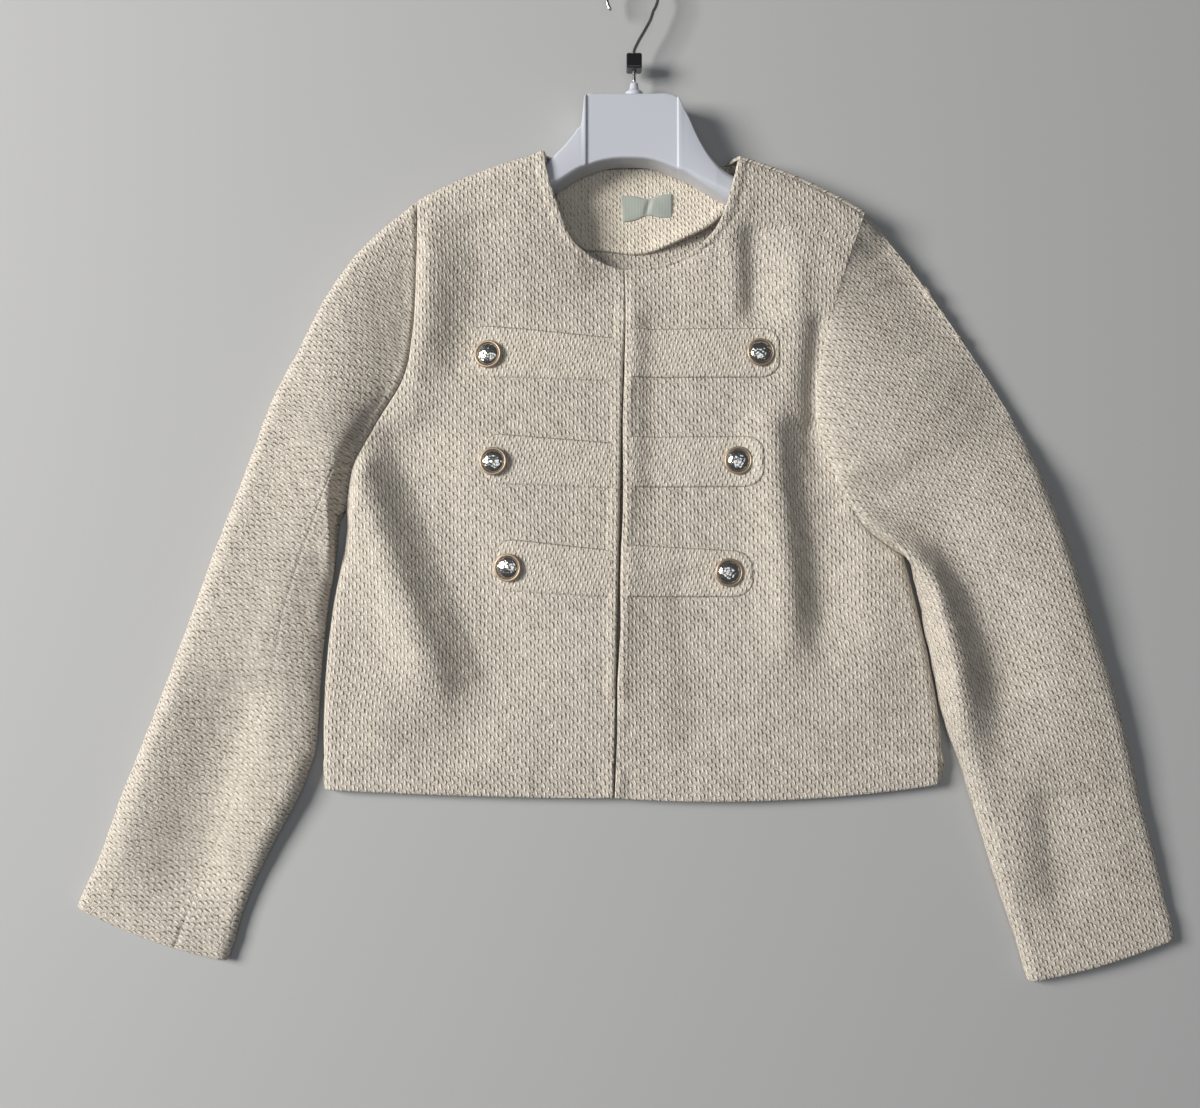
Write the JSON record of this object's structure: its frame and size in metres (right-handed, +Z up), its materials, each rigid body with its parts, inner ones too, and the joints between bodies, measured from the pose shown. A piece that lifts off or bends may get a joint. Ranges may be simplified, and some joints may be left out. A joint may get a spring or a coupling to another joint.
{
  "type": "cropped tweed jacket on a hanger",
  "caption": "Collarless cropped jacket in cream boucle tweed with buttoned front tabs, laid flat on its back with a broad plastic hanger in its shoulders.",
  "frame": {"origin": "middle of the footprint, on the surface that the jacket lies on", "axes": "+X to the wearer's left, +Y from the hem to the neck, +Z up, out of the jacket's front"},
  "size_m": [0.8558, 0.8077, 0.0334],
  "materials": {
    "cream_tweed": "nubbly woven wool",
    "cream_tweed_strap": "nubbly woven wool",
    "warm_facing": "plain weave",
    "label_weave": "fine plain weave",
    "pale_gold": "polished",
    "hammered_silver": "hammered",
    "white_plastic": "glossy",
    "black_plastic": "glossy",
    "hook_steel": "bright"
  },
  "bodies": {
    "root": {"back_panel": "cream_tweed", "front_right": "cream_tweed", "front_left": "cream_tweed", "sleeve_right_top": "cream_tweed", "sleeve_right_under": "cream_tweed", "sleeve_left_top": "cream_tweed", "sleeve_left_under": "cream_tweed", "tab_right_top": "cream_tweed_strap", "tab_right_middle": "cream_tweed_strap", "tab_right_bottom": "cream_tweed_strap", "tab_left_top": "cream_tweed_strap", "tab_left_middle": "cream_tweed_strap", "tab_left_bottom": "cream_tweed_strap", "back_neck_facing": "warm_facing", "label": "label_weave", "button_right_top_rim": "pale_gold", "button_right_middle_rim": "pale_gold", "button_right_bottom_rim": "pale_gold", "button_left_top_rim": "pale_gold", "button_left_middle_rim": "pale_gold", "button_left_bottom_rim": "pale_gold", "button_right_top_dome": "hammered_silver", "button_right_middle_dome": "hammered_silver", "button_right_bottom_dome": "hammered_silver", "button_left_top_dome": "hammered_silver", "button_left_middle_dome": "hammered_silver", "button_left_bottom_dome": "hammered_silver", "hanger_body": "white_plastic", "hook_collar": "white_plastic", "size_marker": "black_plastic", "hook_wire": "hook_steel"}
  },
  "joints": []
}
